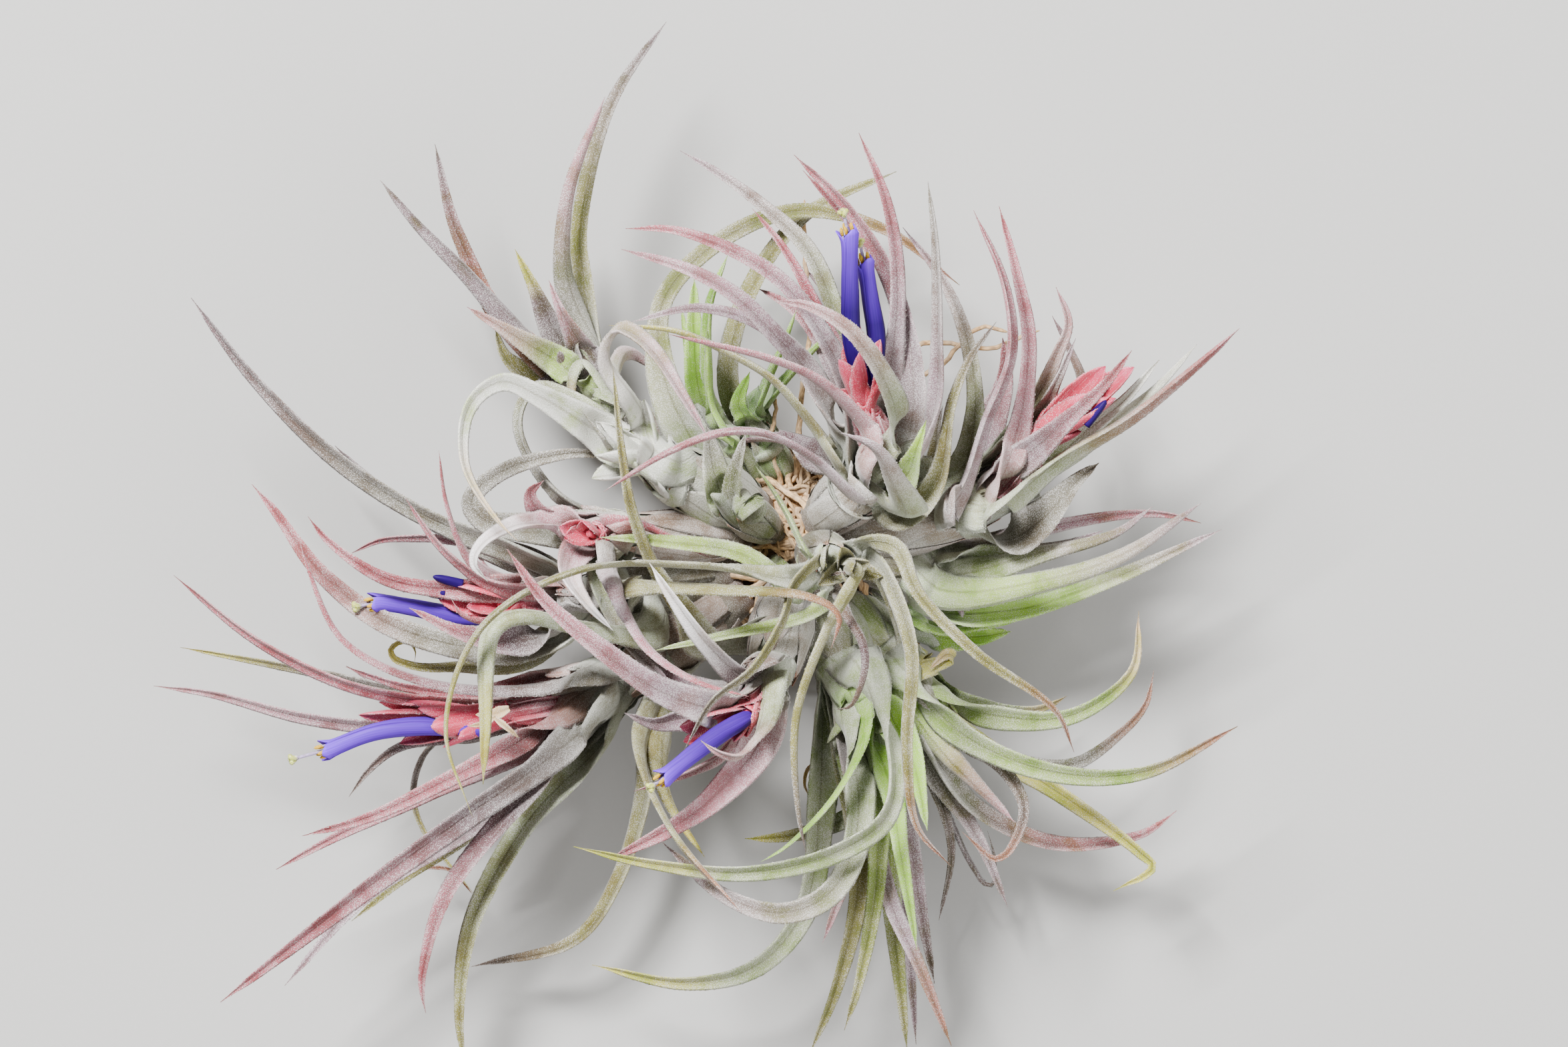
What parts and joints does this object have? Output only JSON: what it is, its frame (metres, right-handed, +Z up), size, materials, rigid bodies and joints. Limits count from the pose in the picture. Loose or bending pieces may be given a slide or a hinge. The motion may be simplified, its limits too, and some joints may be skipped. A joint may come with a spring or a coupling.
{
  "type": "air plant",
  "caption": "Flowering clump of a narrow-leaved silver air plant, bare-rooted, lying on its root side, with pink bracts and violet tube flowers.",
  "frame": {"origin": "middle of the small flat spot under the root crown, on the surface that the clump lies on", "axes": "+Z up from the surface, the way the clump faces in the picture; +Y towards the top of the picture and +X towards its right"},
  "size_m": [0.2444, 0.236, 0.0946],
  "materials": {
    "leaf_silver": "matt, silvery scales over grey-green leaf",
    "leaf_mauve": "matt, silvery scales over mauve-grey leaf",
    "leaf_green": "matt, fresh green young leaf",
    "leaf_olive": "matt, ageing olive leaf with straw tips",
    "bract_pink": "satin, coral pink with pale scales",
    "petal_violet": "satin, deep blue-violet, paler at the mouth",
    "stigma_cream": "satin, cream stigma on a pale lilac style",
    "anther_yellow": "powdery, pollen yellow",
    "root_bark": "rough, dry and fibrous"
  },
  "bodies": {
    "root": {"style_top_left": "stigma_cream", "stamens_top_left": "anther_yellow", "petals_top_left": "petal_violet", "style_top_right": "stigma_cream", "stamens_top_right": "anther_yellow", "petals_top_right": "petal_violet", "style_front_low": "stigma_cream", "stamens_front_low": "anther_yellow", "petals_front_low": "petal_violet", "style_lower_left": "stigma_cream", "stamens_lower_left": "anther_yellow", "petals_lower_left": "petal_violet", "style_left": "stigma_cream", "stamens_left": "anther_yellow", "petals_left": "petal_violet", "bud_right": "petal_violet", "bud_left_high": "petal_violet", "bud_left_low": "petal_violet", "bracts_top": "bract_pink", "bracts_right": "bract_pink", "bracts_front_low": "bract_pink", "bracts_lower_left": "bract_pink", "bracts_left": "bract_pink", "bracts_left_back": "bract_pink", "rosette_top": "leaf_mauve", "rosette_right": "leaf_mauve", "rosette_front_low": "leaf_mauve", "rosette_lower_left": "leaf_mauve", "rosette_left": "leaf_mauve", "rosette_left_back": "leaf_mauve", "rosette_right_low": "leaf_silver", "rosette_bottom_right": "leaf_silver", "rosette_bottom": "leaf_silver", "rosette_upper_left": "leaf_silver", "rosette_pale_left": "leaf_silver", "pup_pale": "leaf_silver", "pup_right_green": "leaf_green", "pup_bright_green": "leaf_green", "pup_dark_green": "leaf_green", "rosette_front": "leaf_olive", "root_crown": "root_bark"}
  },
  "joints": []
}
